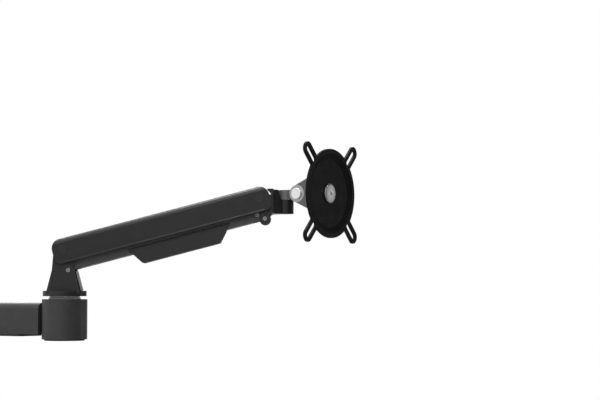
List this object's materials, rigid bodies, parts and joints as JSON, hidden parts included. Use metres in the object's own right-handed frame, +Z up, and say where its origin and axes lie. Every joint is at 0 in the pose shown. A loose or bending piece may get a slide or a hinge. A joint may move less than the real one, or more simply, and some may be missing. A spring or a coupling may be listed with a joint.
{
  "type": "monitor arm",
  "caption": "Desk-clamped arm that carries a flat screen: swivelling lower arm, gas-sprung parallel upper arm, and a tilting head with a round slotted plate.",
  "frame": {"origin": "on the post's axis, at the desk top's upper face, where the base rests", "axes": "+Z up, -Y the way the screen plate faces, +X to the right seen from behind the plate; at rest the lower arm points along -Y"},
  "size_m": [0.2495, 0.5911, 0.4772],
  "materials": {
    "base_pad": "matte",
    "base_casting": "satin",
    "clamp_steel": "satin",
    "arm_casting": "satin",
    "shell_paint": "satin",
    "link_paint": "satin",
    "bracket_casting": "satin",
    "head_casting": "satin",
    "plate_paint": "satin",
    "cover_plastic": "satin",
    "knob_plastic": "matte",
    "rubber": "matte",
    "fastener_steel": "satin",
    "black_screws": "satin",
    "bright_caps": "satin",
    "centre_silver": "satin",
    "cylinder_paint": "gloss",
    "rod_chrome": "polished",
    "nylon": "satin",
    "nut_bronze": "satin"
  },
  "bodies": {
    "base": {"base_pad": "base_pad", "base_plate": "base_casting", "post": "base_casting", "post_screw": "fastener_steel", "post_washer": "nylon", "post_retainer": "fastener_steel", "post_retainer_screw": "fastener_steel", "clamp_bracket": "clamp_steel", "bracket_screws": "black_screws"},
    "jaw": {"clamp_pad": "clamp_steel", "clamp_pad_rubber": "rubber"},
    "clamp_screw": {"clamp_screw": "fastener_steel", "clamp_pad_ring": "fastener_steel", "clamp_knob": "knob_plastic"},
    "lower_arm": {"lower_arm": "arm_casting", "post_bush_lower": "nylon", "post_bush_upper": "nylon", "hub_cap": "cover_plastic", "friction_screw": "black_screws", "friction_tip": "nylon", "elbow_bush_lower": "nylon", "elbow_bush_upper": "nylon", "elbow_cap": "cover_plastic"},
    "lower_cover": {"lower_cable_cover": "cover_plastic"},
    "rear_bracket": {"rear_bracket": "bracket_casting", "elbow_washer": "nylon", "elbow_retainer": "fastener_steel", "elbow_screw": "fastener_steel", "rear_lift_pins": "fastener_steel", "rear_link_pins": "bright_caps"},
    "tension_screw": {"tension_screw": "fastener_steel"},
    "tension_nut": {"tension_nut": "nut_bronze"},
    "gas_cylinder": {"gas_cylinder": "cylinder_paint"},
    "gas_rod": {"gas_rod": "rod_chrome"},
    "spring_arm": {"arm_shell": "shell_paint", "pivot_bushes": "nylon", "pivot_caps": "cover_plastic", "gas_pin": "fastener_steel"},
    "lower_link": {"lower_link": "link_paint", "link_tie": "fastener_steel", "link_screws": "bright_caps"},
    "arm_cover": {"cable_cover": "cover_plastic"},
    "front_bracket": {"front_bracket": "bracket_casting", "front_lift_pins": "fastener_steel", "front_link_pins": "bright_caps", "swivel_bolt": "fastener_steel", "swivel_spring": "fastener_steel", "swivel_washer": "nylon", "swivel_nut": "fastener_steel"},
    "yoke": {"swivel_yoke": "head_casting", "tilt_washers": "nylon"},
    "tilt_bracket": {"tilt_bracket": "head_casting", "tilt_bolt": "fastener_steel", "tilt_nut": "fastener_steel", "tilt_caps": "bright_caps", "rotation_washer": "nylon", "rotation_spring": "fastener_steel", "centre_bolt": "centre_silver"},
    "screen_plate": {"screen_plate": "plate_paint"}
  },
  "joints": [
    {"name": "clamp_travel", "type": "slide", "parent": "base", "child": "jaw", "axis": [0, 0, 1], "range_m": [-0.03, 0.02]},
    {"name": "clamp_turn", "type": "hinge", "parent": "jaw", "child": "clamp_screw", "pos_m": [0, 0, -0.06], "axis": [0, 0, 1], "range_deg": [-2161, 1441]},
    {"name": "base_swivel", "type": "hinge", "parent": "base", "child": "lower_arm", "pos_m": [0, 0, 0.12], "axis": [0, 0, 1], "range_deg": [-180, 180]},
    {"name": "lower_cover_clip", "type": "slide", "parent": "lower_arm", "child": "lower_cover", "axis": [0, 0, -1], "range_m": [0, 0.03]},
    {"name": "elbow_swivel", "type": "hinge", "parent": "lower_arm", "child": "rear_bracket", "pos_m": [0, -0.24, 0.13], "axis": [0, 0, 1], "range_deg": [-150, 85]},
    {"name": "arm_lift", "type": "hinge", "parent": "rear_bracket", "child": "spring_arm", "pos_m": [0, -0.24, 0.204], "axis": [-0.8387, -0.5446, 0], "range_deg": [-40, 30]},
    {"name": "link_swing", "type": "hinge", "parent": "rear_bracket", "child": "lower_link", "pos_m": [0.00339, -0.24521, 0.1803], "axis": [-0.8387, -0.5446, 0], "range_deg": [-40, 30]},
    {"name": "head_level", "type": "hinge", "parent": "spring_arm", "child": "front_bracket", "pos_m": [0.12643, -0.43469, 0.2649], "axis": [-0.8387, -0.5446, 0], "range_deg": [-30, 40]},
    {"name": "arm_cover_clip", "type": "slide", "parent": "lower_link", "child": "arm_cover", "axis": [0.1382, -0.2128, -0.9673], "range_m": [0, 0.03]},
    {"name": "tension_turn", "type": "hinge", "parent": "rear_bracket", "child": "tension_screw", "pos_m": [0, -0.24, 0.204], "axis": [-0.1382, 0.2128, 0.9673], "range_deg": [-901, 901]},
    {"name": "tension_travel", "type": "slide", "parent": "rear_bracket", "child": "tension_nut", "axis": [0.1382, -0.2128, -0.9673], "range_m": [-0.0025, 0.0025]},
    {"name": "gas_tilt", "type": "hinge", "parent": "spring_arm", "child": "gas_cylinder", "pos_m": [0.1082, -0.40662, 0.25457], "axis": [-0.8387, -0.5446, 0], "range_deg": [-0.7, 0.7]},
    {"name": "gas_stroke", "type": "slide", "parent": "gas_cylinder", "child": "gas_rod", "axis": [-0.5191, 0.7993, -0.3029], "range_m": [-0.0081, 0.0061]},
    {"name": "head_swivel", "type": "hinge", "parent": "front_bracket", "child": "yoke", "pos_m": [0.14354, -0.46103, 0.2649], "axis": [0, 0, 1], "range_deg": [-42, 108]},
    {"name": "head_tilt", "type": "hinge", "parent": "yoke", "child": "tilt_bracket", "pos_m": [0.14354, -0.48953, 0.2702], "axis": [-1, 0, 0], "range_deg": [-30, 75]},
    {"name": "screen_rotate", "type": "hinge", "parent": "tilt_bracket", "child": "screen_plate", "pos_m": [0.14354, -0.48953, 0.2702], "axis": [0, -1, 0], "range_deg": [-90, 90]}
  ],
  "couplings": [
    {"joint": "clamp_turn", "follows": "clamp_travel", "rad_per_m": 1256.6},
    {"joint": "link_swing", "follows": "arm_lift", "ratio": 1},
    {"joint": "head_level", "follows": "arm_lift", "ratio": -1},
    {"joint": "gas_stroke", "follows": "arm_lift", "m_per_rad": 0.01152},
    {"joint": "tension_turn", "follows": "tension_travel", "rad_per_m": 6283.2},
    {"joint": "gas_tilt", "follows": "tension_travel", "rad_per_m": 4.8653}
  ]
}
